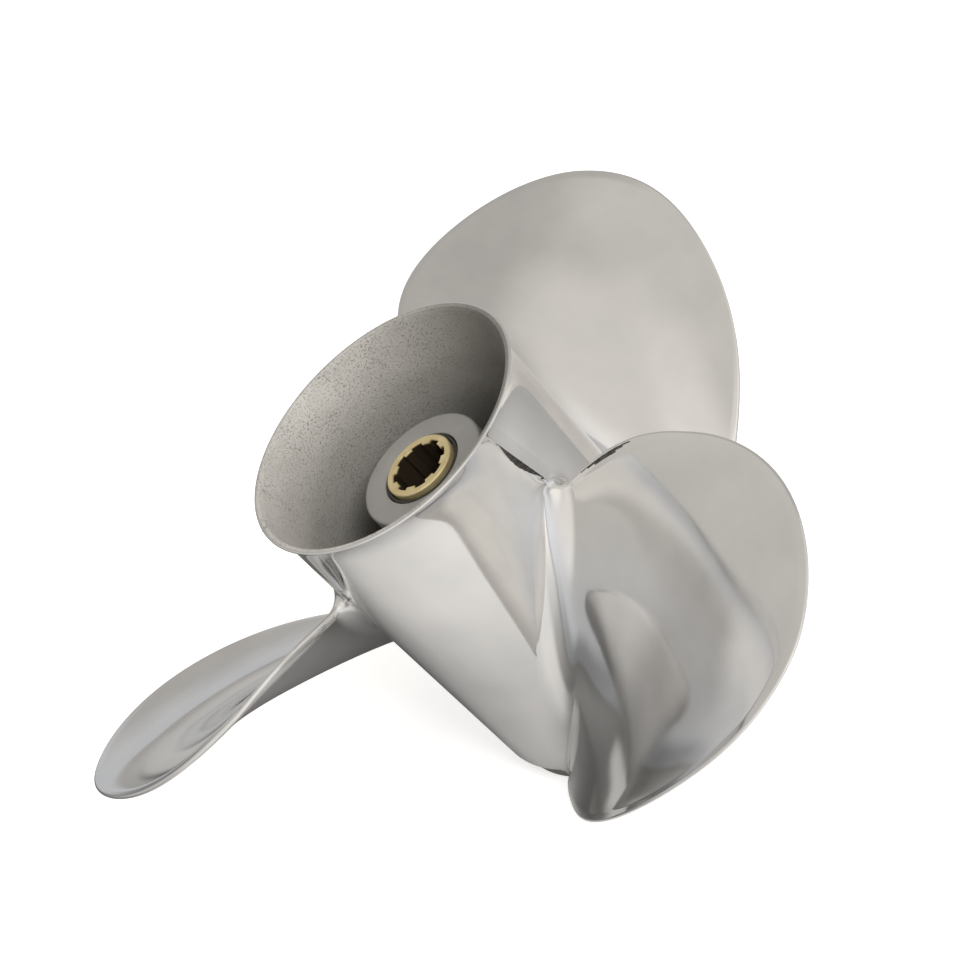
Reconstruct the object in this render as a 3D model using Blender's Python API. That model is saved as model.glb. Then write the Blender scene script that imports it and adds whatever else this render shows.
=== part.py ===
# Three-blade outboard propeller with a through-hub exhaust, in metres.
# It stands on its forward collar, so +Z runs along the shaft axis towards aft, and the
# origin is on that axis in the plane of the collar's forward face. Seen from aft it
# turns clockwise. Sizes below are in mm and degrees.

import math

import bmesh
import bpy
from mathutils import Vector

MM = 0.001
GAP = 0.3  # clearance between neighbouring solids

# Outer hub, with heights counted from the collar's forward face
RIM_Z = 104.0
RIM_RADIUS = 36.85
RIM_BORE_RADIUS = 35.3
RIM_ROUND = 0.5
FLARE_FOOT_Z = 93.0
FLARE_SAG = 0.7  # hollow of the flare's outer curve
BARREL_AFT_RADIUS = 34.55
BARREL_FRONT_RADIUS = 33.75
BARREL_BORE_RADIUS = 31.8
SHOULDER_Z = 5.8
SHOULDER_ROUND = 1.0
COLLAR_RADIUS = 32.0
COLLAR_BORE_RADIUS = 29.6
COLLAR_ROUND = 0.4

# Inner hub, with the bush and the sleeve that the shaft enters
BOSS_RADIUS = 16.6
BOSS_FACE_Z = 87.2
BOSS_FRONT_Z = 2.0
BOSS_BORE_RADIUS = 13.4
BOSS_MOUTH_RADIUS = 10.4
BOSS_LIP = 3.0
BOSS_ROUND = 0.8
BUSH_INSET = 2.0
SLEEVE_RADIUS = 9.1
SLEEVE_AFT_Z = 88.4
SLEEVE_FRONT_Z = 3.0
SPLINE_COUNT = 8
SPLINE_ROOT_RADIUS = 7.4
SPLINE_TIP_RADIUS = 6.5
SPLINE_GROOVE_DEG = 25.0
SPLINE_TURN_DEG = 28.5

WEB_COUNT = 3
WEB_THICKNESS = 5.0
WEB_FRONT_Z = 8.0
WEB_AFT_Z = 68.0
WEB_TURN_DEG = 90.0

# Blades. Each pair below is a share of the span, from root to tip, and its value.
BLADE_COUNT = 3
BLADE_TURN_DEG = 20.8  # azimuth of the first blade's generator line
TIP_RADIUS = 117.5
TRAILING_DEG = ((0.0, 18.3), (0.15, 26.2), (0.4, 30.6), (0.7, 31.0), (1.0, 23.8))
LEADING_DEG = ((0.0, 65.1), (0.15, 51.3), (0.4, 42.9), (0.7, 36.6), (1.0, 32.1))
GENERATOR_Z = ((0.0, 59.9), (1 / 3, 54.4), (2 / 3, 64.5), (1.0, 67.3))
PITCH = ((0.0, 308.0), (1 / 3, 307.0), (2 / 3, 248.0), (1.0, 208.0))
CAMBER = ((0.0, 0.2), (0.5, 8.9), (1.0, -54.9))  # mm per square radian
WARP = ((0.0, 4.8), (0.5, 0.1), (1.0, 0.0))  # mm per cubic radian
# Rise towards aft inside the outline, and how much more of it lies towards the trailing edge
CROWN = ((0.0, 1.9), (0.25, 3.0), (0.5, -0.2), (0.75, -9.2), (1.0, -20.4))
CROWN_LEAN = 15.6
LEADING_EASE_DEG = 8.0  # how far the leading edge draws back where it meets the hub
LEADING_EASE_SPAN = 0.02
EDGE_THICKNESS = 1.2
ROOT_THICKNESS = 5.4
TIP_THINNING = 0.6

# Low ridge from each trailing edge's root to the flare
RIDGE_HEIGHT = 1.5
RIDGE_STEEP_WIDTH = 3.0
RIDGE_GENTLE_WIDTH = 9.0
RIDGE_FRONT_Z = 77.0
RIDGE_FRONT_DEG = 18.5  # from the blade's generator line
RIDGE_AFT_DEG = 14.0

SIDES = 72
CHORD_CELLS = 20
SPAN_CELLS = 14


def clear_scene():
    for old in list(bpy.data.objects):
        bpy.data.objects.remove(old, do_unlink=True)


def make_material(name, color, roughness, metallic):
    mat = bpy.data.materials.new(name)
    mat.use_nodes = True
    shader = mat.node_tree.nodes["Principled BSDF"]
    shader.inputs["Base Color"].default_value = (*color, 1.0)
    shader.inputs["Roughness"].default_value = roughness
    shader.inputs["Metallic"].default_value = metallic
    return mat


def finish_mesh(name, bm, mat):
    """Turn a bmesh modelled in mm into a smooth-shaded mesh in metres."""
    bmesh.ops.scale(bm, vec=(MM, MM, MM), verts=bm.verts)
    bmesh.ops.recalc_face_normals(bm, faces=bm.faces)
    mesh = bpy.data.meshes.new(name)
    bm.to_mesh(mesh)
    bm.free()
    mesh.materials.append(mat)
    mesh.shade_smooth()
    mesh.set_sharp_from_angle(angle=math.radians(35))
    return mesh


def place(name, mesh, parent, turn_deg=0.0):
    obj = bpy.data.objects.new(name, mesh)
    bpy.context.scene.collection.objects.link(obj)
    obj.parent = parent
    obj.rotation_euler.z = math.radians(turn_deg)
    return obj


def value_at(points, share):
    """Value, at a share of the span, of the smooth curve through the points."""
    total = 0.0
    for i, (at, value) in enumerate(points):
        for j, (other, _) in enumerate(points):
            if j != i:
                value *= (share - other) / (at - other)
        total += value
    return total


def barrel_radius(z):
    share = (z - SHOULDER_Z) / (FLARE_FOOT_Z - SHOULDER_Z)
    return BARREL_FRONT_RADIUS + (BARREL_AFT_RADIUS - BARREL_FRONT_RADIUS) * share


def bowed(start, end, sag, steps=6):
    """Profile points from start to end, bowed by sag towards the left of that way."""
    start, end = Vector(start), Vector(end)
    chord = end - start
    side = Vector((-chord.y, chord.x)).normalized()
    shares = [i / steps for i in range(steps + 1)]
    return [tuple(start + chord * t + side * sag * 4 * t * (1 - t)) for t in shares]


def turned(profile):
    """Solid of revolution about Z from a closed profile of (radius, height) points."""
    bm = bmesh.new()
    verts = [bm.verts.new((radius, 0, z)) for radius, z in profile]
    edges = [bm.edges.new(pair) for pair in zip(verts, verts[1:] + verts[:1])]
    bmesh.ops.spin(bm, geom=verts + edges, cent=(0, 0, 0), axis=(0, 0, 1),
                   angle=math.tau, steps=SIDES, use_merge=True)
    return bm


def barrel_shape():
    aft = FLARE_FOOT_Z - GAP
    return turned([
        (BARREL_BORE_RADIUS, SHOULDER_Z),
        (BARREL_FRONT_RADIUS - SHOULDER_ROUND, SHOULDER_Z),
        (BARREL_FRONT_RADIUS - SHOULDER_ROUND * 0.3, SHOULDER_Z + SHOULDER_ROUND * 0.3),
        (BARREL_FRONT_RADIUS, SHOULDER_Z + SHOULDER_ROUND),
        (barrel_radius(aft), aft),
        (BARREL_BORE_RADIUS, aft),
    ])


def flare_shape():
    lip = RIM_Z - RIM_ROUND
    outside = bowed((BARREL_AFT_RADIUS, FLARE_FOOT_Z), (RIM_RADIUS, lip), FLARE_SAG)
    face = [(RIM_RADIUS - RIM_ROUND, RIM_Z), (RIM_BORE_RADIUS + RIM_ROUND, RIM_Z)]
    inside = bowed((RIM_BORE_RADIUS, lip), (BARREL_BORE_RADIUS, FLARE_FOOT_Z), -FLARE_SAG / 2)
    return turned(outside + face + inside)


def collar_shape():
    aft = SHOULDER_Z - GAP
    return turned([
        (COLLAR_BORE_RADIUS, 0),
        (COLLAR_RADIUS - COLLAR_ROUND, 0),
        (COLLAR_RADIUS, COLLAR_ROUND),
        (COLLAR_RADIUS, aft),
        (COLLAR_BORE_RADIUS, aft),
    ])


def inner_hub_shape():
    lip = BOSS_FACE_Z - BOSS_LIP
    return turned([
        (BOSS_BORE_RADIUS, BOSS_FRONT_Z),
        (BOSS_RADIUS - BOSS_ROUND, BOSS_FRONT_Z),
        (BOSS_RADIUS, BOSS_FRONT_Z + BOSS_ROUND),
        (BOSS_RADIUS, BOSS_FACE_Z - BOSS_ROUND),
        (BOSS_RADIUS - BOSS_ROUND, BOSS_FACE_Z),
        (BOSS_MOUTH_RADIUS, BOSS_FACE_Z),
        (BOSS_MOUTH_RADIUS, lip),
        (BOSS_BORE_RADIUS, lip),
    ])


def bush_shape():
    inner = SLEEVE_RADIUS + GAP
    outer = BOSS_BORE_RADIUS - GAP
    neck = BOSS_MOUTH_RADIUS - GAP
    front = BOSS_FRONT_Z + BUSH_INSET
    step = BOSS_FACE_Z - BOSS_LIP - GAP
    aft = BOSS_FACE_Z - GAP
    return turned([(inner, front), (outer, front), (outer, step), (neck, step), (neck, aft), (inner, aft)])


def ring_loop(bm, points):
    verts = [bm.verts.new((*point, SLEEVE_FRONT_Z)) for point in points]
    return [bm.edges.new(pair) for pair in zip(verts, verts[1:] + verts[:1])]


def sleeve_shape():
    """Tube whose bore has grooves between teeth, each flank square to the axis."""
    pitch = 360.0 / SPLINE_COUNT
    inner = []
    for index in range(SPLINE_COUNT):
        groove = SPLINE_TURN_DEG + index * pitch
        spans = ((SPLINE_ROOT_RADIUS, groove, SPLINE_GROOVE_DEG),
                 (SPLINE_TIP_RADIUS, groove + pitch / 2, pitch - SPLINE_GROOVE_DEG))
        for radius, middle, width in spans:
            for turn in (-0.5, 0.0, 0.5):
                angle = math.radians(middle + width * turn)
                inner.append((radius * math.cos(angle), radius * math.sin(angle)))
    first = math.radians(SPLINE_TURN_DEG - SPLINE_GROOVE_DEG / 2)
    step = math.tau / len(inner)
    outer = [(SLEEVE_RADIUS * math.cos(first + step * i), SLEEVE_RADIUS * math.sin(first + step * i))
             for i in range(len(inner))]
    bm = bmesh.new()
    rings = ring_loop(bm, outer) + ring_loop(bm, inner)
    faces = bmesh.ops.bridge_loops(bm, edges=rings)["faces"]
    raised = bmesh.ops.extrude_face_region(bm, geom=faces, use_keep_orig=True)["geom"]
    top = [item for item in raised if isinstance(item, bmesh.types.BMVert)]
    bmesh.ops.translate(bm, verts=top, vec=(0, 0, SLEEVE_AFT_Z - SLEEVE_FRONT_Z))
    return bm


def web_shape():
    inner = BOSS_RADIUS + GAP
    outer = BARREL_BORE_RADIUS - GAP * 1.7
    bm = bmesh.new()
    bmesh.ops.create_cube(bm, size=1.0)
    bmesh.ops.scale(bm, vec=(outer - inner, WEB_THICKNESS, WEB_AFT_Z - WEB_FRONT_Z), verts=bm.verts)
    bmesh.ops.translate(bm, verts=bm.verts,
                        vec=((outer + inner) / 2, 0, (WEB_AFT_Z + WEB_FRONT_Z) / 2))
    return bm


def blade_point(across, span):
    """Point of the blade's middle surface; across runs from -1 to 1 over the chord."""
    if across > 0:
        edge = value_at(TRAILING_DEG, span)
    else:
        edge = value_at(LEADING_DEG, span)
    turn = math.radians(across * edge)
    ease = math.radians(LEADING_EASE_DEG) * math.exp(-span / LEADING_EASE_SPAN)
    turn += ease * max(-across, 0) ** 2
    z = value_at(GENERATOR_Z, span) + value_at(PITCH, span) * turn / math.tau
    z += value_at(CAMBER, span) * turn ** 2 + value_at(WARP, span) * turn ** 3
    crown = value_at(CROWN, span) + CROWN_LEAN * across * span ** 2
    z += crown * max(1 - across ** 2 - span ** 2, 0.0)
    root = barrel_radius(z) + GAP
    radius = root + (TIP_RADIUS - root) * span
    return Vector((radius * math.cos(turn), radius * math.sin(turn), z))


def blade_normal(across, span):
    """Unit normal of the middle surface, towards the suction side."""
    step = 0.002
    low = max(span - step, 0.0)
    along = blade_point(across + step, span) - blade_point(across - step, span)
    out = blade_point(across, span + step) - blade_point(across, low)
    return along.cross(out).normalized()


def blade_thickness(across, span):
    fullness = max(1 - across ** 2 - span ** 2, 0.0) ** 0.75
    return EDGE_THICKNESS + (ROOT_THICKNESS - EDGE_THICKNESS) * fullness * (1 - TIP_THINNING * span)


def blade_side(bm, side):
    """Grid over the blade's outline, raised by half the thickness to one side."""
    grid = bmesh.ops.create_grid(bm, x_segments=CHORD_CELLS, y_segments=SPAN_CELLS, size=1.0)["verts"]
    for vert in grid:
        chord = vert.co.x
        height = (vert.co.y + 1) / 2
        across = chord * math.sqrt(1 - height ** 2 / 2)
        span = height * math.sqrt(1 - chord ** 2 / 2)
        offset = blade_normal(across, span) * blade_thickness(across, span) / 2
        point = blade_point(across, span) + offset * side
        if height == 0:
            flat = math.hypot(point.x, point.y)
            root = barrel_radius(point.z) + GAP
            point.x *= root / flat
            point.y *= root / flat
        vert.co = point


def blade_shape():
    bm = bmesh.new()
    blade_side(bm, 1)
    blade_side(bm, -1)
    open_edges = [edge for edge in bm.edges if edge.is_boundary]
    bmesh.ops.bridge_loops(bm, edges=open_edges)
    return bm


def ridge_loop(bm, share):
    """Cross-section of a ridge, at a share of its length from the blade to the flare."""
    z = RIDGE_FRONT_Z + (FLARE_FOOT_Z - GAP - RIDGE_FRONT_Z) * share
    crest = math.radians(RIDGE_FRONT_DEG + (RIDGE_AFT_DEG - RIDGE_FRONT_DEG) * share)
    foot = barrel_radius(z) + GAP
    outline = ((-RIDGE_STEEP_WIDTH, 0), (0, 0), (RIDGE_GENTLE_WIDTH / 2, 0), (RIDGE_GENTLE_WIDTH, 0),
               (RIDGE_GENTLE_WIDTH, 0.2), (RIDGE_GENTLE_WIDTH / 2, RIDGE_HEIGHT * 0.35),
               (0, RIDGE_HEIGHT), (-RIDGE_STEEP_WIDTH, 0.2))
    verts = []
    for width, height in outline:
        angle = crest + width / foot
        verts.append(bm.verts.new(((foot + height) * math.cos(angle), (foot + height) * math.sin(angle), z)))
    return verts


def ridge_shape():
    bm = bmesh.new()
    sections = [ridge_loop(bm, share) for share in (0.0, 0.5, 1.0)]
    loops = [[bm.edges.new(pair) for pair in zip(verts, verts[1:] + verts[:1])] for verts in sections]
    for low, high in zip(loops, loops[1:]):
        bmesh.ops.bridge_loops(bm, edges=low + high)
    bm.faces.new(sections[0])
    bm.faces.new(sections[-1])
    return bm


def main():
    clear_scene()
    steel = make_material("polished_steel", (0.78, 0.77, 0.75), 0.12, 1.0)
    cast = make_material("cast_steel", (0.42, 0.41, 0.39), 0.65, 0.8)
    brass = make_material("sleeve_brass", (0.78, 0.66, 0.38), 0.4, 1.0)
    rubber = make_material("bush_rubber", (0.03, 0.03, 0.03), 0.8, 0.0)

    propeller = bpy.data.objects.new("propeller", None)
    bpy.context.scene.collection.objects.link(propeller)
    place("outer_barrel", finish_mesh("outer_barrel", barrel_shape(), steel), propeller)
    place("flare_ring", finish_mesh("flare_ring", flare_shape(), steel), propeller)
    place("front_collar", finish_mesh("front_collar", collar_shape(), cast), propeller)
    place("inner_hub", finish_mesh("inner_hub", inner_hub_shape(), cast), propeller)
    place("rubber_bush", finish_mesh("rubber_bush", bush_shape(), rubber), propeller)
    place("spline_sleeve", finish_mesh("spline_sleeve", sleeve_shape(), brass), propeller)

    web_mesh = finish_mesh("web", web_shape(), cast)
    for index in range(WEB_COUNT):
        place(f"web_{index + 1}", web_mesh, propeller, WEB_TURN_DEG + index * 360 / WEB_COUNT)

    blade_mesh = finish_mesh("blade", blade_shape(), steel)
    ridge_mesh = finish_mesh("ridge", ridge_shape(), steel)
    for index in range(BLADE_COUNT):
        turn = BLADE_TURN_DEG + index * 360 / BLADE_COUNT
        place(f"blade_{index + 1}", blade_mesh, propeller, turn)
        place(f"ridge_{index + 1}", ridge_mesh, propeller, turn)


main()
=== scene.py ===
# Polished stainless outboard propeller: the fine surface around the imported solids.
# Lengths in the dictionaries are millimetres and angles are degrees, unless a note says so.
import math

import bmesh
import bpy
from mathutils import Euler, Matrix, Vector


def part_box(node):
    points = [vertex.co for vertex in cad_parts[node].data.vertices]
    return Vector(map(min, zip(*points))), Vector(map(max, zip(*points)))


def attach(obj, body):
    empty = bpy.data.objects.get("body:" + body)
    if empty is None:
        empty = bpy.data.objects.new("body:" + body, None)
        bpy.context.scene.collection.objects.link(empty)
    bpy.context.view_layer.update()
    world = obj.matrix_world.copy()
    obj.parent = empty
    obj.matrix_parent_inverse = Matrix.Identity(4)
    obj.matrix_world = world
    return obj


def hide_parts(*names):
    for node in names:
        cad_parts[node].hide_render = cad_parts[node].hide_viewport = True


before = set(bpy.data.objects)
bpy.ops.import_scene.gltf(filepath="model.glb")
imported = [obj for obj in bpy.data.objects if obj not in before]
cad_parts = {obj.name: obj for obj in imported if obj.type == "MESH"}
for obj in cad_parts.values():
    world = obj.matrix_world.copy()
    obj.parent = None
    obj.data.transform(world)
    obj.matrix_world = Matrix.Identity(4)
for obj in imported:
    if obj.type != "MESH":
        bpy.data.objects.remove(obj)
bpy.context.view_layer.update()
mm = 0.001
print("stage: frame loaded")


# Sizes that come from the solids

def nodeBox(name):
    return [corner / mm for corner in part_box(name)]


flareHigh = nodeBox("flare_ring")[1]
barrelLow, barrelHigh = nodeBox("outer_barrel")
collarHigh = nodeBox("front_collar")[1]
hubLow, hubHigh = nodeBox("inner_hub")
sleeveLow, sleeveHigh = nodeBox("spline_sleeve")

barrel = {
    "frontRadius": 33.75,
    "aftRadius": barrelHigh.x,
    "boreRadius": 31.8,
    "shoulderZ": barrelLow.z,
    "shoulderRound": 1.0,
    "flareZ": 89.0,  # where the barrel starts to open towards the rim
    "flarePower": 4.0,
    "rimZ": flareHigh.z,
    "rimRadius": flareHigh.x,
    "rimBore": 35.3,
    "boreFlareZ": 88.0,  # where the bore starts to open, sooner and more evenly
    "boreFlarePower": 1.6,
    "lipRound": 0.45,
    "boreLipRound": 0.3,
    "wallHeights": (101.0, 99.0, 97.0, 94.0, 91.0, 88.0, 80.0),  # of the seam inside the wall
    "seamGap": 0.05,
    "linerDepth": 0.3,  # how far the cast liner stops short of the front end
    "tubeRings": 24,
    "flareRings": 14,
    "boreRings": 40,
    "sides": 256,
}


# Materials

def newMaterial(name):
    mat = bpy.data.materials.new(name)
    mat.use_nodes = True
    tree = mat.node_tree
    shader = tree.nodes["Principled BSDF"]
    coords = tree.nodes.new("ShaderNodeTexCoord")
    return mat, tree, shader, coords.outputs["Object"]


def noiseNode(tree, vector, scale, detail=4.0, roughness=0.5):
    node = tree.nodes.new("ShaderNodeTexNoise")
    node.inputs["Scale"].default_value = scale
    node.inputs["Detail"].default_value = detail
    node.inputs["Roughness"].default_value = roughness
    tree.links.new(vector, node.inputs["Vector"])
    return node.outputs["Fac"]


def rampNode(tree, value, stops):
    node = tree.nodes.new("ShaderNodeValToRGB")
    while len(node.color_ramp.elements) < len(stops):
        node.color_ramp.elements.new(0.5)
    for element, (position, color) in zip(node.color_ramp.elements, stops):
        element.position = position
        element.color = (*color, 1.0)
    tree.links.new(value, node.inputs["Fac"])
    return node.outputs["Color"]


def rangeNode(tree, value, low, high, toLow, toHigh):
    node = tree.nodes.new("ShaderNodeMapRange")
    node.inputs["From Min"].default_value = low
    node.inputs["From Max"].default_value = high
    node.inputs["To Min"].default_value = toLow
    node.inputs["To Max"].default_value = toHigh
    tree.links.new(value, node.inputs["Value"])
    return node.outputs["Result"]


def bumpNode(tree, height, strength, distance, before=None):
    node = tree.nodes.new("ShaderNodeBump")
    node.inputs["Strength"].default_value = strength
    node.inputs["Distance"].default_value = distance
    tree.links.new(height, node.inputs["Height"])
    if before:
        tree.links.new(before, node.inputs["Normal"])
    return node.outputs["Normal"]


def blendNode(tree, factor, first, second, kind="MIX"):
    node = tree.nodes.new("ShaderNodeMix")
    node.data_type = "RGBA"
    node.blend_type = kind
    for socket, value in (("Factor", factor), ("A", first), ("B", second)):
        if isinstance(value, tuple):
            node.inputs[socket].default_value = (*value, 1.0)
        elif isinstance(value, float):
            node.inputs[socket].default_value = value
        else:
            tree.links.new(value, node.inputs[socket])
    return node.outputs["Result"]


def mathNode(tree, operation, first, second):
    node = tree.nodes.new("ShaderNodeMath")
    node.operation = operation
    for socket, value in zip(node.inputs, (first, second)):
        if isinstance(value, float):
            socket.default_value = value
        else:
            tree.links.new(value, socket)
    return node.outputs["Value"]


def dotNode(tree, vector, direction):
    node = tree.nodes.new("ShaderNodeVectorMath")
    node.operation = "DOT_PRODUCT"
    node.inputs[1].default_value = direction
    tree.links.new(vector, node.inputs[0])
    return node.outputs["Value"]


def compass(azimuth, elevation):
    turn, rise = math.radians(azimuth), math.radians(elevation)
    return Vector((math.cos(turn) * math.cos(rise), math.sin(turn) * math.cos(rise), math.sin(rise)))


polish = {
    "color": (0.80, 0.79, 0.775),
    "shade": (0.74, 0.735, 0.725),
    "roughness": (0.05, 0.10),
    "waveScale": 45.0,  # per metre: slow unevenness left by hand polishing
    "waveDepth": 0.00006,  # metres
    "hairScale": 900.0,
    "hairDepth": 0.0000015,
}


def makePolishedSteel():
    mat, tree, shader, place = newMaterial("polishedSteel")
    cloudy = noiseNode(tree, place, 60.0, 3.0)
    tree.links.new(rampNode(tree, cloudy, [(0.35, polish["shade"]), (0.65, polish["color"])]),
                   shader.inputs["Base Color"])
    tree.links.new(rangeNode(tree, cloudy, 0.3, 0.7, *polish["roughness"]), shader.inputs["Roughness"])
    shader.inputs["Metallic"].default_value = 1.0
    wave = bumpNode(tree, noiseNode(tree, place, polish["waveScale"], 1.0), 1.0, polish["waveDepth"])
    hair = bumpNode(tree, noiseNode(tree, place, polish["hairScale"], 2.0), 1.0, polish["hairDepth"], wave)
    tree.links.new(hair, shader.inputs["Normal"])
    return mat


# painted dark reflection in the grooves beside the ridges and trailing edges: darker, rougher steel stands
# in for the dark that these steep faces mirror
groovePaint = {"deep": (0.055, 0.053, 0.048), "light": (0.12, 0.118, 0.11), "streakScale": 700.0}


def makePaintedReflectionSteel():
    mat, tree, shader, place = newMaterial("paintedReflectionSteel")
    streaks = noiseNode(tree, place, groovePaint["streakScale"], 3.0)
    tree.links.new(rampNode(tree, streaks, [(0.35, groovePaint["deep"]), (0.7, groovePaint["light"])]),
                   shader.inputs["Base Color"])
    shader.inputs["Roughness"].default_value = 0.35
    shader.inputs["Metallic"].default_value = 0.8
    return mat


cast = {
    "light": (0.56, 0.54, 0.505),
    "mid": (0.43, 0.415, 0.385),
    "speck": (0.17, 0.14, 0.11),
    "sootAndShade": (0.115, 0.11, 0.10),
    "sootAndShadeDepth": (0.100, 0.066),  # metres above the collar: clean above, darker below, with soot and painted shade deep in the bore
    "shadeSide": 75.0,  # azimuth of the wall painted darker: painted shade on the wall that faces away from the key light
    "grainScale": 1900.0,
    "pitScale": 2100.0,
    "stainScale": 130.0,
}


def makeCastSteel():
    mat, tree, shader, place = newMaterial("castSteel")
    broad = noiseNode(tree, place, 55.0, 6.0, 0.65)
    tone = rampNode(tree, broad, [(0.3, cast["mid"]), (0.7, cast["light"])])
    pits = noiseNode(tree, place, cast["pitScale"], 3.0, 0.6)
    stains = noiseNode(tree, place, cast["stainScale"], 3.0, 0.6)
    where = rangeNode(tree, stains, 0.45, 0.62, 0.15, 1.0)
    pitMask = mathNode(tree, "MULTIPLY", rangeNode(tree, pits, 0.54, 0.68, 0.0, 0.75), where)
    split = tree.nodes.new("ShaderNodeSeparateXYZ")
    tree.links.new(place, split.inputs["Vector"])
    # soot and painted shade deep in the bore, and painted shade on the wall turned from the light
    deep = rangeNode(tree, split.outputs["Z"], *cast["sootAndShadeDepth"], 0.0, 0.85)
    shadedSide = rangeNode(tree, dotNode(tree, place, compass(cast["shadeSide"], 0)), -0.004, 0.030, 0.0, 0.8)
    sootAndShadeMask = mathNode(tree, "MULTIPLY", mathNode(tree, "MAXIMUM", deep, shadedSide),
                      rangeNode(tree, broad, 0.3, 0.7, 0.85, 1.1))
    tone = blendNode(tree, sootAndShadeMask, tone, cast["sootAndShade"])
    tree.links.new(blendNode(tree, pitMask, tone, cast["speck"]), shader.inputs["Base Color"])
    shader.inputs["Roughness"].default_value = 0.6
    shader.inputs["Metallic"].default_value = 0.25
    grain = bumpNode(tree, noiseNode(tree, place, cast["grainScale"], 4.0), 0.6, 0.00010)
    sunk = bumpNode(tree, rangeNode(tree, pits, 0.54, 0.68, 1.0, 0.0), 0.8, 0.00014, grain)
    tree.links.new(sunk, shader.inputs["Normal"])
    return mat


bossFinish = {"deep": (0.25, 0.245, 0.235), "light": (0.29, 0.285, 0.27), "grainScale": 1400.0}


def makeBossSteel():
    mat, tree, shader, place = newMaterial("bossSteel")
    broad = noiseNode(tree, place, 90.0, 3.0)
    tree.links.new(rampNode(tree, broad, [(0.3, bossFinish["deep"]), (0.7, bossFinish["light"])]),
                   shader.inputs["Base Color"])
    shader.inputs["Roughness"].default_value = 0.55
    shader.inputs["Metallic"].default_value = 0.3
    grain = bumpNode(tree, noiseNode(tree, place, bossFinish["grainScale"], 3.0), 0.35, 0.00005)
    tree.links.new(grain, shader.inputs["Normal"])
    return mat


brass = {
    "light": (0.80, 0.68, 0.40),
    "deep": (0.66, 0.53, 0.27),
    "greaseAndShade": (0.075, 0.055, 0.035),  # dark old grease among the splines, and painted shade inside the bore
    "greaseAndShadeRadius": (0.0077, 0.0079),  # metres: full within, none beyond
    "greaseAndShadeDepth": (0.0006, 0.0002),  # metres under the sleeve's end
    "grainScale": 1800.0,
}


def makeBrass():
    mat, tree, shader, place = newMaterial("sleeveBrass")
    broad = noiseNode(tree, place, 260.0, 3.0)
    tone = rampNode(tree, broad, [(0.3, brass["deep"]), (0.7, brass["light"])])
    split = tree.nodes.new("ShaderNodeSeparateXYZ")
    tree.links.new(place, split.inputs["Vector"])
    flat = tree.nodes.new("ShaderNodeVectorMath")
    flat.operation = "MULTIPLY"
    flat.inputs[1].default_value = (1, 1, 0)
    tree.links.new(place, flat.inputs[0])
    reach = tree.nodes.new("ShaderNodeVectorMath")
    reach.operation = "LENGTH"
    tree.links.new(flat.outputs["Vector"], reach.inputs[0])
    # darker inside the spline bore below its end: grease and painted shade
    inBore = rangeNode(tree, reach.outputs["Value"], *brass["greaseAndShadeRadius"], 1.0, 0.0)
    full, none = [sleeveHigh.z * mm - depth for depth in brass["greaseAndShadeDepth"]]
    below = rangeNode(tree, split.outputs["Z"], full, none, 1.0, 0.0)
    greaseAndShadeMask = mathNode(tree, "MULTIPLY", inBore, below)
    tree.links.new(blendNode(tree, greaseAndShadeMask, tone, brass["greaseAndShade"]), shader.inputs["Base Color"])
    shader.inputs["Roughness"].default_value = 0.42
    shader.inputs["Metallic"].default_value = 0.75
    grain = bumpNode(tree, noiseNode(tree, place, brass["grainScale"], 2.0), 0.4, 0.00004)
    tree.links.new(grain, shader.inputs["Normal"])
    return mat


rubber = {"deep": (0.018, 0.017, 0.015), "light": (0.035, 0.033, 0.03), "grainScale": 2200.0}


def makeRubber():
    mat, tree, shader, place = newMaterial("bushRubber")
    broad = noiseNode(tree, place, 400.0, 3.0)
    tree.links.new(rampNode(tree, broad, [(0.3, rubber["deep"]), (0.7, rubber["light"])]),
                   shader.inputs["Base Color"])
    shader.inputs["Roughness"].default_value = 0.7
    grain = bumpNode(tree, noiseNode(tree, place, rubber["grainScale"], 2.0), 0.5, 0.00006)
    tree.links.new(grain, shader.inputs["Normal"])
    return mat


polishedSteel = makePolishedSteel()
paintedReflectionSteel = makePaintedReflectionSteel()
castSteel = makeCastSteel()
bossSteel = makeBossSteel()
sleeveBrass = makeBrass()
bushRubber = makeRubber()
print("stage: materials made")


# Shared modelling helpers, all in millimetres until finishPiece

def finishPiece(name, bm, mats, nodes=(), sharp=40.0, turn=0.0):
    bmesh.ops.recalc_face_normals(bm, faces=bm.faces)
    bmesh.ops.scale(bm, vec=(mm, mm, mm), verts=bm.verts)
    bmesh.ops.rotate(bm, cent=(0, 0, 0), matrix=Matrix.Rotation(math.radians(turn), 3, "Z"), verts=bm.verts)
    mesh = bpy.data.meshes.new(name)
    bm.to_mesh(mesh)
    bm.free()
    for finish in mats:
        mesh.materials.append(finish)
    mesh.shade_smooth()
    mesh.set_sharp_from_angle(angle=math.radians(sharp))
    piece = bpy.data.objects.new(name, mesh)
    bpy.context.scene.collection.objects.link(piece)
    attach(piece, "root")
    if nodes:
        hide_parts(*nodes)
    return piece


def cornerArc(centre, radius, fromDeg, toDeg, steps=5):
    angles = [math.radians(fromDeg + (toDeg - fromDeg) * i / steps) for i in range(steps + 1)]
    return [(centre[0] + radius * math.cos(a), centre[1] + radius * math.sin(a)) for a in angles]


def evenSteps(low, high, count):
    return [low + (high - low) * i / count for i in range(1, count + 1)]


def spunRing(profile, sides):
    bm = bmesh.new()
    verts = [bm.verts.new((radius, 0, z)) for radius, z in profile]
    edges = [bm.edges.new(pair) for pair in zip(verts, verts[1:] + verts[:1])]
    bmesh.ops.spin(bm, geom=verts + edges, cent=(0, 0, 0), axis=(0, 0, 1),
                   angle=math.tau, steps=sides, use_merge=True)
    return bm


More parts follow.
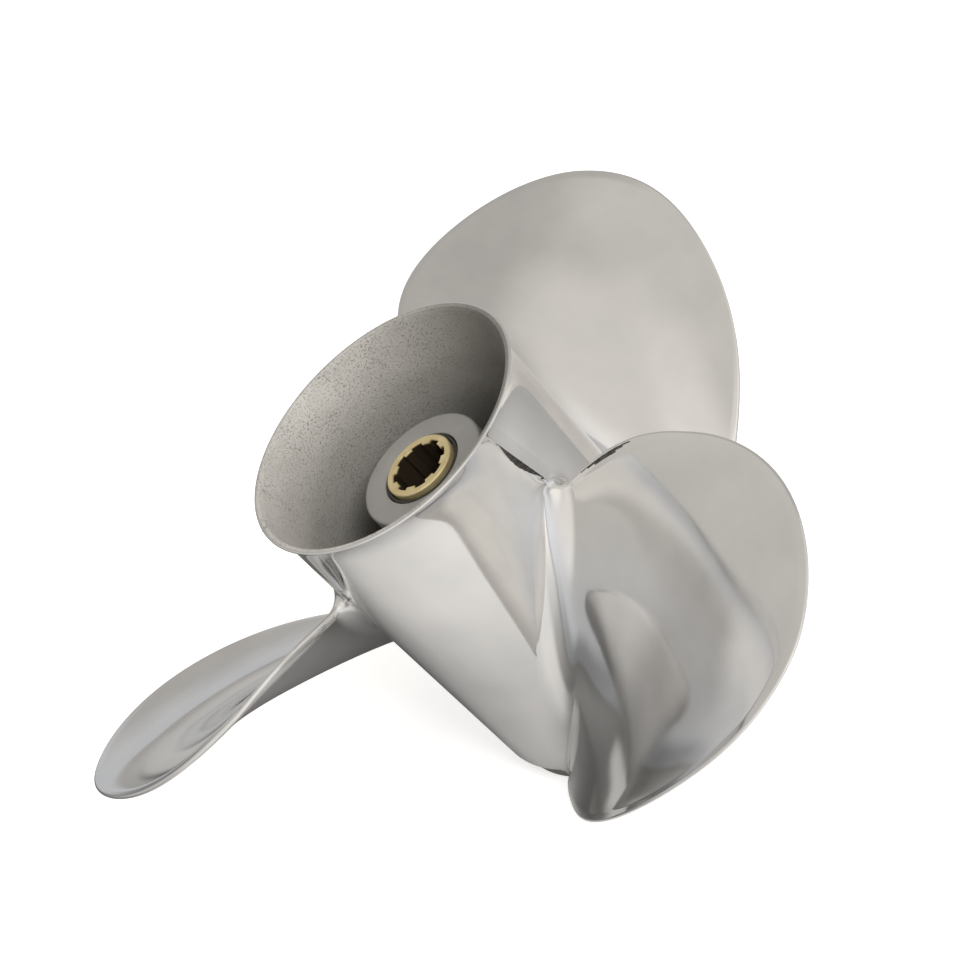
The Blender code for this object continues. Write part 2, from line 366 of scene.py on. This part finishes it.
def skinRadius(z):
    # outer radius of the barrel and its flare at height z
    share = (z - barrel["shoulderZ"]) / (barrelHigh.z - barrel["shoulderZ"])
    radius = barrel["frontRadius"] + (barrel["aftRadius"] - barrel["frontRadius"]) * share
    opening = (z - barrel["flareZ"]) / (barrel["rimZ"] - barrel["flareZ"])
    if opening > 0:
        radius += (barrel["rimRadius"] - radius) * opening ** barrel["flarePower"]
    return radius


def boreRadius(z):
    opening = max((z - barrel["boreFlareZ"]) / (barrel["rimZ"] - barrel["boreFlareZ"]), 0.0)
    growth = opening ** barrel["boreFlarePower"]
    return barrel["boreRadius"] + (barrel["rimBore"] - barrel["boreRadius"]) * growth


def wallRadius(z):
    # where the polished skin meets the cast liner, half way through the wall
    return (skinRadius(z) + boreRadius(z)) / 2


# Barrel: polished outside, as cast inside

def makeBarrelSkin():
    low = barrel["shoulderZ"]
    bend = barrel["shoulderRound"]
    lip = barrel["lipRound"]
    top = barrel["rimZ"]
    profile = cornerArc((skinRadius(low) - bend, low + bend), bend, -90, 0)
    heights = evenSteps(low + bend, barrel["flareZ"], barrel["tubeRings"])
    heights += evenSteps(barrel["flareZ"], top - lip, barrel["flareRings"])
    profile += [(skinRadius(z), z) for z in heights]
    edge = barrel["rimRadius"] - lip
    profile += cornerArc((edge, top - lip), lip, 10, 90, 4)
    profile += [(edge - 0.15, top - 0.02), (edge - 0.2, top - 0.8)]
    profile += [(wallRadius(z) + barrel["seamGap"], z) for z in (*barrel["wallHeights"], low)]
    return finishPiece("barrelSkin", spunRing(profile, barrel["sides"]), [polishedSteel],
                       ["outer_barrel", "flare_ring"])


def makeBarrelLiner():
    low = barrel["shoulderZ"]
    top = barrel["rimZ"]
    foot = low + barrel["linerDepth"]
    lip = barrel["boreLipRound"]
    outer = barrel["rimRadius"] - barrel["lipRound"] - 0.17
    profile = [(wallRadius(z), z) for z in (foot, *reversed(barrel["wallHeights"]))]
    profile += [(outer - 0.1, top - 0.9), (outer, top - 0.03)]
    profile += cornerArc((barrel["rimBore"] + lip, top - lip), lip, 90, 180, 4)
    shares = [i / barrel["boreRings"] for i in range(barrel["boreRings"] + 1)]
    start = top - 2 * lip
    heights = [start - (start - foot) * share ** 1.4 for share in shares]  # closer near the rim
    profile += [(boreRadius(z), z) for z in heights]
    return finishPiece("barrelLiner", spunRing(profile, barrel["sides"]), [castSteel])


# Forward collar that fits the gearcase

collar = {"bore": 29.6, "round": 0.4, "boreChamfer": (0.4, 0.5), "tuck": 0.5, "sides": 192}


def makeCollar():
    outer = collarHigh.x
    inner = collar["bore"]
    bend = collar["round"]
    wide, deep = collar["boreChamfer"]
    top = barrel["shoulderZ"] + collar["tuck"]  # a little way up inside the barrel
    profile = [(inner, deep), (inner + wide, 0.0)]
    profile += cornerArc((outer - bend, bend), bend, -90, 0, 4)
    profile += [(outer, top), (inner, top)]
    bm = spunRing(profile, collar["sides"])
    return finishPiece("frontCollar", bm, [castSteel], ["front_collar"])


makeBarrelSkin()
makeBarrelLiner()
makeCollar()
print("stage: barrel made")


# Ridges that carry each trailing edge's root on to the rim

ridge = {
    "frontZ": 75.0,  # starts under the fillet of the blade's trailing edge
    "fullZ": 79.0,
    "rimTurn": 12.2,  # from the blade's generator line
    "turnPerMm": -0.306,  # how the crest leans round the barrel
    "height": 0.45,
    "gentleWidth": 4.0,
    "steepWidth": 1.8,
    "steepEnd": 0.6,
    "hollowZ": (81.5, 98.0),  # the lens-shaped groove on the steep side, which carries the painted dark reflection
    "reflectionPaintShare": 0.8,  # of the steep side's width that is painted with the dark reflection, where the groove is widest
    "tuck": 0.05,  # how far both flanks dip under the barrel's surface
    "foot": 0.1,  # depth of the underside beyond the seam in the wall
    "grid": (44, 84),
}
ridgeTop = barrel["rimZ"] - 0.5


def crestTurn(z):
    return ridge["rimTurn"] + ridge["turnPerMm"] * (z - ridgeTop)


def crestHeight(z):
    rise = min(max((z - ridge["frontZ"]) / (ridge["fullZ"] - ridge["frontZ"]), 0.0), 1.0)
    return ridge["height"] * rise ** 2 * (3 - 2 * rise)


def lensShare(value, low, high):
    # none at both ends and 1 half way
    share = min(max((value - low) / (high - low), 0.0), 1.0)
    return math.sin(math.pi * share) ** 0.7


def flankWidth(z, gentle):
    if gentle:
        return ridge["gentleWidth"]
    return ridge["steepEnd"] + (ridge["steepWidth"] - ridge["steepEnd"]) * lensShare(z, *ridge["hollowZ"])


# Blades

blade = {
    "turn": 20.8,  # azimuth of the first blade's generator line
    "count": 3,
    "tipRadius": 117.5,
    "trailing": ((0.0, 18.3), (0.15, 26.2), (0.4, 30.6), (0.7, 31.0), (1.0, 23.8)),
    "leading": ((0.0, 65.1), (0.15, 51.3), (0.4, 42.9), (0.7, 36.6), (1.0, 32.1)),
    "generator": ((0.0, 59.9), (1 / 3, 54.4), (2 / 3, 64.5), (1.0, 67.3)),
    "pitch": ((0.0, 308.0), (1 / 3, 307.0), (2 / 3, 248.0), (1.0, 208.0)),
    "camber": ((0.0, 0.2), (0.5, 8.9), (1.0, -54.9)),
    "warp": ((0.0, 4.8), (0.5, 0.1), (1.0, 0.0)),
    # rise towards aft inside the outline
    "crown": ((0.0, 1.9), (0.25, 3.0), (0.5, -0.2), (0.75, -9.2), (1.0, -20.4)),
    "crownLean": 15.6,  # more of it towards the trailing edge, by the square of the span
    "cup": 1.1,  # how far the trailing edge curls aft near the hub
    "cupShare": 0.08,
    "cupSpan": 0.45,
    "reflectionPaintSpan": (0.075, 0.27),  # the painted dark reflection along the trailing edge's face near the hub
    "reflectionPaintColumns": (3, 6),  # its first and widest column of faces, counted from the edge
    "ease": 8.0,  # the leading edge draws back by this much where it meets the barrel
    "easeSpan": 0.02,
    "edge": 1.5,  # thickness at the edge, and in the middle of the root
    "root": 5.4,
    "faceShare": 0.5,  # of the thickness, on the aft side of the middle surface
    "thinning": 0.6,
    "roundDepth": 0.014,  # share of the outline's depth that is rounded over
    "bevelDepth": 0.06,  # share that is ground to a bevel
    "bevelDrop": 0.6,
    "fillet": 6.0,
    "filletRows": 12,
    "loopPoints": 160,
    "rows": 56,
    "frontLimit": 6.0,  # the fillet spreads no further forward than this height
    "skirtRadius": 33.2,  # the root's foot, inside the barrel's wall
}


def valueAt(points, share):
    # smooth curve through (share, value) points
    total = 0.0
    for i, (at, value) in enumerate(points):
        for j, (other, spare) in enumerate(points):
            if j != i:
                value *= (share - other) / (at - other)
        total += value
    return total


def bladePoint(across, span):
    edge = valueAt(blade["trailing"] if across > 0 else blade["leading"], span)
    turn = math.radians(across * edge)
    turn += math.radians(blade["ease"]) * math.exp(-span / blade["easeSpan"]) * max(-across, 0.0) ** 2
    z = valueAt(blade["generator"], span) + valueAt(blade["pitch"], span) * turn / math.tau
    z += valueAt(blade["camber"], span) * turn ** 2 + valueAt(blade["warp"], span) * turn ** 3
    crown = valueAt(blade["crown"], span) + blade["crownLean"] * across * span ** 2
    z += crown * max(1 - across ** 2 - span ** 2, 0.0)
    curl = (across / math.sqrt(max(1 - span ** 2, 0.01)) - 1) / blade["cupShare"] + 1
    if curl > 0 and span < blade["cupSpan"]:
        z += blade["cup"] * min(curl, 1.5) ** 2 * math.sin(math.pi * span / blade["cupSpan"])
    root = skinRadius(z)
    radius = root + (blade["tipRadius"] - root) * span
    return Vector((radius * math.cos(turn), radius * math.sin(turn), z))


def bladeNormal(across, span):
    step = 0.002
    along = bladePoint(across + step, span) - bladePoint(across - step, span)
    out = bladePoint(across, span + step) - bladePoint(across, max(span - step, 0.0))
    return along.cross(out).normalized()


def bladeLift(across, span, onBack):
    # distance from the middle surface to the rounded back, or to the flatter face
    depth = max(1 - across ** 2 - span ** 2, 0.0)
    lift = blade["edge"] / 2
    if depth < blade["bevelDepth"]:
        lift -= blade["bevelDrop"] / 2 * (1 - depth / blade["bevelDepth"])
    share = 1 - blade["faceShare"] if onBack else blade["faceShare"]
    lift += share * (blade["root"] - blade["edge"]) * depth ** 0.75 * (1 - blade["thinning"] * span)
    if depth < blade["roundDepth"]:
        lift *= math.sqrt(1 - (1 - depth / blade["roundDepth"]) ** 2)
    return lift if onBack else -lift


def bladeSection(span, height, spread):
    # closed loop at one height above the barrel, opened out by spread for the fillet;
    # it runs from the trailing edge along the back to the leading edge, and returns along the face
    width = math.sqrt(max(1 - span ** 2, 0.0))
    count = blade["loopPoints"]
    flat = []
    for i in range(count):
        phi = math.tau * i / count
        across = width * math.cos(phi)
        lift = bladeLift(across, span, phi < math.pi)
        point = bladePoint(across, span) + bladeNormal(across, span) * lift
        flat.append((math.atan2(point.y, point.x), point.z))
    if span >= 1:
        return [bladePoint(0.0, 1.0)] * count
    scale = skinRadius(sum(z for turn, z in flat) / count) + height
    points = []
    for i, (turn, z) in enumerate(flat):
        before, after = flat[i - 1], flat[(i + 1) % count]
        outward = Vector((before[1] - after[1], (after[0] - before[0]) * scale)).normalized()
        turn += outward.x * spread / scale
        z = max(z + outward.y * spread, min(z, blade["frontLimit"]))
        radius = skinRadius(z) + height
        points.append(Vector((radius * math.cos(turn), radius * math.sin(turn), z)))
    return points


def moveRing(ring, points):
    for vert, point in zip(ring, points):
        vert.co = point


def makeBladeMesh():
    bm = bmesh.new()
    count = blade["loopPoints"]
    ring = bmesh.ops.create_circle(bm, segments=count, radius=1.0)["verts"]
    reach = blade["tipRadius"] - barrel["aftRadius"]
    rings = []
    for i in range(blade["filletRows"] + 1):
        alpha = math.pi / 2 * (1 - i / blade["filletRows"])
        rings.append((blade["fillet"] * (1 - math.sin(alpha)), blade["fillet"] * (1 - math.cos(alpha))))
    start = blade["fillet"] / reach
    for i in range(1, blade["rows"] + 1):
        span = start + (1 - start) * math.sin(math.pi / 2 * i / blade["rows"])
        rings.append((span * reach, 0.0))
    sections = [bladeSection(min(height / reach, 1.0), height, spread) for height, spread in rings]
    # the foot draws both sides in to one line inside the wall, where they merge
    foot = [(near + far) / 2 for near, far in zip(sections[0], sections[0][:1] + sections[0][:0:-1])]
    moveRing(ring, [Vector((*p.xy.normalized() * blade["skirtRadius"], p.z)) for p in foot])
    rows = []
    for points in sections:
        edges = [bm.edges.get((a, b)) for a, b in zip(ring, ring[1:] + ring[:1])]
        grown = bmesh.ops.extrude_edge_only(bm, edges=edges)["geom"]
        newVerts = [item for item in grown if isinstance(item, bmesh.types.BMVert)]
        partner = {}
        for vert in newVerts:
            for edge in vert.link_edges:
                other = edge.other_vert(vert)
                if other in set(ring):
                    partner[other] = vert
        ring = [partner[vert] for vert in ring]
        moveRing(ring, points)
        rows.append(ring)
    # faces near the trailing edge get the painted dark reflection (the second material)
    first, widest = blade["reflectionPaintColumns"]
    for (height, _), lower, upper in zip(rings, rows, rows[1:]):
        wide = (widest - first) * lensShare(height / reach, *blade["reflectionPaintSpan"])
        for column in range(first, first + round(wide)):
            corners = (lower[-column], lower[-column - 1], upper[-column - 1], upper[-column])
            bm.faces.get(corners).material_index = 1
    bmesh.ops.remove_doubles(bm, verts=bm.verts, dist=0.0005)
    return bm


def makeRidgeMesh():
    bm = bmesh.new()
    columns, rows = ridge["grid"]
    bmesh.ops.create_grid(bm, x_segments=columns, y_segments=rows, size=1.0)
    rise = (ridgeTop - ridge["frontZ"]) / 2
    # steep-side faces within the lens get the painted dark reflection (the second material)
    for face in bm.faces:
        middle = face.calc_center_median()
        groove = ridge["reflectionPaintShare"] * lensShare(ridge["frontZ"] + rise * (middle.y + 1), *ridge["hollowZ"])
        if -math.sqrt(groove) < middle.x < 0:
            face.material_index = 1
    for vert in bm.verts:
        z = ridge["frontZ"] + rise * (vert.co.y + 1)
        surface = skinRadius(z)
        sideways = vert.co.x * abs(vert.co.x)
        angle = math.radians(crestTurn(z)) + sideways * flankWidth(z, sideways > 0) / surface
        radius = surface + crestHeight(z) * (1 - abs(sideways)) ** 2 - ridge["tuck"] * abs(sideways) ** 8
        vert.co = Vector((radius * math.cos(angle), radius * math.sin(angle), z))
    under = bmesh.ops.extrude_face_region(bm, geom=list(bm.faces), use_keep_orig=True)["geom"]
    for item in under:
        if isinstance(item, bmesh.types.BMVert):
            flat = Vector((item.co.x, item.co.y, 0))
            foot = min(flat.length - ridge["foot"], wallRadius(item.co.z) + ridge["foot"])
            item.co += flat.normalized() * (foot - flat.length)
    return bm


for index in range(blade["count"]):
    turn = blade["turn"] + index * 360 / blade["count"]
    finishPiece(f"bladeSkin{index + 1}", makeBladeMesh(), [polishedSteel, paintedReflectionSteel],
                [f"blade_{index + 1}"], turn=turn)
    finishPiece(f"ridgeSkin{index + 1}", makeRidgeMesh(), [polishedSteel, paintedReflectionSteel],
                [f"ridge_{index + 1}"], turn=turn)
print("stage: blades made")


# Inner hub and its bush and sleeve

boss = {"round": 0.8, "mouth": 10.4, "mouthRound": 0.3, "bore": 13.4, "lip": 3.0, "sides": 160}


def makeBoss():
    outer = hubHigh.x
    bend = boss["round"]
    face = hubHigh.z
    profile = [(boss["bore"], hubLow.z)]
    profile += cornerArc((outer - bend, hubLow.z + bend), bend, -90, 0)
    profile += cornerArc((outer - bend, face - bend), bend, 0, 90)
    lip = boss["mouthRound"]
    profile += cornerArc((boss["mouth"] + lip, face - lip), lip, 90, 180, 3)
    profile += [(boss["mouth"], face - boss["lip"]), (boss["bore"], face - boss["lip"])]
    bm = spunRing(profile, boss["sides"])
    return finishPiece("bossShell", bm, [bossSteel], ["inner_hub"])


sleeve = {
    "splines": 8,
    "root": 7.4,
    "tip": 6.5,
    "groove": 25.0,
    "turn": 28.5,
    "arcSteps": 6,
    "arcShare": 0.96,  # the rest of each arc is the slope of the spline's flank
    "chamfer": 0.25,
    "boreChamfer": 0.15,
}


def splineOutline():
    pitch = 360 / sleeve["splines"]
    points = []
    for index in range(sleeve["splines"]):
        groove = sleeve["turn"] + index * pitch
        for radius, middle, width in ((sleeve["root"], groove, sleeve["groove"]),
                                      (sleeve["tip"], groove + pitch / 2, pitch - sleeve["groove"])):
            for i in range(sleeve["arcSteps"] + 1):
                aside = width * (i / sleeve["arcSteps"] - 0.5) * sleeve["arcShare"]
                points.append((radius, math.radians(middle + aside)))
    return points


def ringAt(bm, polar, z):
    return [bm.verts.new((radius * math.cos(angle), radius * math.sin(angle), z)) for radius, angle in polar]


def makeSleeve():
    bm = bmesh.new()
    outline = splineOutline()
    count = len(outline)
    start = outline[0][1]
    outer = sleeveHigh.x
    cut = sleeve["chamfer"]
    low, high = sleeveLow.z, sleeveHigh.z
    rings = []
    for radius, z in ((outer, low), (outer, high - cut), (outer - cut, high)):
        rings.append(ringAt(bm, [(radius, start + math.tau * i / count) for i in range(count)], z))
    for grow, z in ((sleeve["boreChamfer"], high), (0.0, high - cut), (0.0, low)):
        rings.append(ringAt(bm, [(radius + grow, angle) for radius, angle in outline], z))
    loops = [[bm.edges.new(pair) for pair in zip(ring, ring[1:] + ring[:1])] for ring in rings]
    for lower, upper in zip(loops, loops[1:] + loops[:1]):
        bmesh.ops.bridge_loops(bm, edges=lower + upper)
    return finishPiece("sleeveBody", bm, [sleeveBrass], ["spline_sleeve"], sharp=30.0)


makeBoss()
makeSleeve()
carriedOver = {"rubber_bush": bushRubber, "web_1": castSteel, "web_2": castSteel, "web_3": castSteel}
for name, mat in carriedOver.items():
    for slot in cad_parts[name].material_slots:
        slot.link = "OBJECT"
        slot.material = mat
print("stage: hub made")


# Camera at the photograph's angle, floor and soft studio light

view = {
    "place": (463.8, 64.0, 398.0),
    "turn": (46.130, 34.612, 68.238),
    "lens": 89.28,
}


def makeCamera():
    data = bpy.data.cameras.new("photoCamera")
    data.sensor_width = 36.0
    data.lens = view["lens"]
    data.clip_start = 0.01
    data.clip_end = 20.0
    camera = bpy.data.objects.new("photoCamera", data)
    camera.location = Vector(view["place"]) * mm
    camera.rotation_euler = Euler([math.radians(a) for a in view["turn"]])
    bpy.context.scene.collection.objects.link(camera)
    bpy.context.scene.camera = camera


floorLook = {
    "reach": 3.0,
    "pale": (0.80, 0.795, 0.79),
    "lift": 0.55,  # glow towards the camera, so that the floor stays near white
    # grey of the table as the metal sees it, with the propeller's shadow and the dark surroundings painted
    # in as darker sectors: metres from the shaft axis, then (azimuth, grey) all round
    "rings": (
        (0.08, (
            (-180, 0.50), (-141, 0.45), (-138, 0.17), (-130, 0.20), (-120, 0.26), (-110, 0.31),
            (-102, 0.37), (-90, 0.44), (-72, 0.50), (-48, 0.57), (0, 0.58), (50, 0.60), (80, 0.50),
            (110, 0.42), (150, 0.45), (180, 0.50),
        )),
        (0.13, (
            (-180, 0.52), (-151, 0.52), (-149, 0.16), (-138, 0.165), (-130, 0.21), (-120, 0.30),
            (-108, 0.38), (-102, 0.43), (-90, 0.58), (-78, 0.66), (-54, 0.72), (0, 0.76),
            (50, 0.70), (80, 0.50), (110, 0.42), (150, 0.45), (180, 0.52),
        )),
        (0.22, (
            (-180, 0.53), (-152, 0.53), (-150, 0.15), (-143, 0.15), (-132, 0.20), (-120, 0.24),
            (-108, 0.26), (-98, 0.40), (-84, 0.62), (-60, 0.70), (0, 0.78), (50, 0.70), (80, 0.52),
            (110, 0.44), (150, 0.46), (180, 0.53),
        )),
        (0.31, (
            (-180, 0.55), (-147, 0.54), (-145, 0.17), (-138, 0.21), (-128, 0.24), (-114, 0.18),
            (-98, 0.20), (-75, 0.30), (-48, 0.42), (-36, 0.55), (0, 0.70), (50, 0.70), (80, 0.55),
            (110, 0.46), (150, 0.50), (180, 0.55),
        )),
        (0.55, (
            (-180, 0.55), (-147, 0.54), (-145, 0.20), (-138, 0.24), (-128, 0.25), (-114, 0.18),
            (-98, 0.20), (-75, 0.30), (-48, 0.44), (-36, 0.57), (0, 0.72), (50, 0.70), (80, 0.55),
            (110, 0.46), (150, 0.50), (180, 0.55),
        )),
        (0.75, (
            (-180, 0.51), (-159, 0.50), (-157, 0.15), (-150, 0.155), (-144, 0.23), (-136, 0.26),
            (-126, 0.21), (-108, 0.21), (-90, 0.25), (-66, 0.34), (-48, 0.50), (-36, 0.60),
            (0, 0.74), (50, 0.70), (80, 0.55), (110, 0.46), (150, 0.50), (180, 0.51),
        )),
    ),
}


def makeFloor():
    bm = bmesh.new()
    bmesh.ops.create_grid(bm, x_segments=1, y_segments=1, size=floorLook["reach"])
    mesh = bpy.data.meshes.new("studioFloor")
    bm.to_mesh(mesh)
    bm.free()
    mat, tree, shader, place = newMaterial("paleFloor")
    shader.inputs["Roughness"].default_value = 1.0
    shader.inputs["Specular IOR Level"].default_value = 0.0
    path = tree.nodes.new("ShaderNodeLightPath")
    reach = tree.nodes.new("ShaderNodeVectorMath")
    reach.operation = "LENGTH"
    tree.links.new(place, reach.inputs[0])
    inside, greys = floorLook["rings"][0]
    tone = aroundNode(tree, place, greys)
    for outside, greys in floorLook["rings"][1:]:
        further = rangeNode(tree, reach.outputs["Value"], inside, outside, 0.0, 1.0)
        tone = blendNode(tree, further, tone, aroundNode(tree, place, greys))
        inside = outside
    # glossy rays see the greys with the painted shadow; all other rays see the even pale floor
    tone = blendNode(tree, path.outputs["Is Glossy Ray"], floorLook["pale"], tone)
    tree.links.new(tone, shader.inputs["Base Color"])
    shader.inputs["Emission Color"].default_value = (1, 1, 1, 1)
    glow = rangeNode(tree, path.outputs["Is Camera Ray"], 0.0, 1.0, 0.0, floorLook["lift"])
    tree.links.new(glow, shader.inputs["Emission Strength"])
    mesh.materials.append(mat)
    floor = bpy.data.objects.new("studioFloor", mesh)
    floor.location.z = -0.0004
    bpy.context.scene.collection.objects.link(floor)


def aroundNode(tree, vector, stops):
    # grey by azimuth, in degrees
    split = tree.nodes.new("ShaderNodeSeparateXYZ")
    tree.links.new(vector, split.inputs["Vector"])
    turn = mathNode(tree, "ARCTAN2", split.outputs["Y"], split.outputs["X"])
    share = rangeNode(tree, turn, -math.pi, math.pi, 0.0, 1.0)
    return rampNode(tree, share, [((azimuth + 180) / 360, (v, v, v)) for azimuth, v in stops])


keyBox = {"azimuth": 32, "elevation": 42, "distance": 1.5, "width": 0.6, "height": 0.5, "watts": 16.0}


def makeKeyBox():
    # lights the matt surfaces only: the polished ones mirror the sky below
    data = bpy.data.lights.new("keyBox", "AREA")
    data.shape = "RECTANGLE"
    data.size = keyBox["width"]
    data.size_y = keyBox["height"]
    data.energy = keyBox["watts"]
    light = bpy.data.objects.new("keyBox", data)
    toward = compass(keyBox["azimuth"], keyBox["elevation"])
    light.location = toward * keyBox["distance"]
    light.rotation_euler = toward.to_track_quat("Z", "Y").to_euler()
    light.visible_camera = False
    light.visible_glossy = False
    bpy.context.scene.collection.objects.link(light)


sky = {
    # sine of elevation, brightness: dim at the horizon, even overhead
    "stops": ((0.0, 0.30), (0.10, 0.37), (0.28, 0.56), (0.60, 0.60), (1.0, 0.66)),
    "warm": (1.04, 1.0, 0.945),
    "cool": (0.985, 1.0, 1.03),
    # azimuth, elevation, full within and gone beyond (degrees), brightness, amount
    "patches": (
        (140, 34, 18, 42, 0.50, 1.0),
        (-178, 34, 10, 26, 0.47, 1.0),
        (-24, 25, 24, 50, 0.92, 1.0),
        (20, 55, 10, 40, 0.82, 1.0),
        (18, 40, 9, 28, 1.10, 1.0),
        (82, 22, 9, 28, 0.94, 1.0),
        (85, 48, 8, 26, 0.76, 0.9),
    ),
    # grey by azimuth on the skyline and just above it, and the sines of elevation where each fades
    "skyline": (
        (-180, 0.59), (-159, 0.58), (-157, 0.17), (-149, 0.18), (-138, 0.30), (-125, 0.24),
        (-105, 0.24), (-90, 0.28), (-70, 0.37), (-48, 0.57), (-30, 0.75), (0, 0.97), (60, 0.86),
        (90, 0.64), (120, 0.60), (180, 0.59),
    ),
    "skylineFade": (0.03, 0.11),
    "horizon": (
        (-180, 0.60), (-163, 0.60), (-159, 0.24), (-146, 0.24), (-138, 0.33), (-128, 0.41),
        (-115, 0.49), (-90, 0.57), (-60, 0.66), (-30, 0.80), (0, 0.97), (60, 0.88), (90, 0.64),
        (120, 0.60), (180, 0.60),
    ),
    "horizonFade": (0.10, 0.36),
}


def makeWorld():
    world = bpy.data.worlds.new("studioWorld")
    world.use_nodes = True
    tree = world.node_tree
    toward = tree.nodes.new("ShaderNodeTexCoord").outputs["Generated"]
    split = tree.nodes.new("ShaderNodeSeparateXYZ")
    tree.links.new(toward, split.inputs["Vector"])
    tone = rampNode(tree, split.outputs["Z"], [(at, (v, v, v)) for at, v in sky["stops"]])
    for azimuth, elevation, near, far, value, amount in sky["patches"]:
        facing = dotNode(tree, toward, compass(azimuth, elevation))
        gone, full = math.cos(math.radians(far)), math.cos(math.radians(near))
        mask = rangeNode(tree, facing, gone, full, 0.0, amount)
        mask.node.interpolation_type = "SMOOTHSTEP"
        tone = blendNode(tree, mask, tone, (value, value, value))
    for ring in ("horizon", "skyline"):
        low = rangeNode(tree, split.outputs["Z"], *sky[ring + "Fade"], 1.0, 0.0)
        low.node.interpolation_type = "SMOOTHSTEP"
        tone = blendNode(tree, low, tone, aroundNode(tree, toward, sky[ring]))
    tint = rampNode(tree, split.outputs["Z"], [(0.05, sky["cool"]), (0.5, sky["warm"])])
    tone = blendNode(tree, 1.0, tone, tint, "MULTIPLY")
    path = tree.nodes.new("ShaderNodeLightPath")
    tone = blendNode(tree, path.outputs["Is Camera Ray"], tone, (1.0, 1.0, 1.0))
    tree.links.new(tone, tree.nodes["Background"].inputs["Color"])
    bpy.context.scene.world = world


makeCamera()
makeFloor()
makeKeyBox()
makeWorld()
bpy.context.scene.view_settings.view_transform = "Standard"
print("stage: studio made")
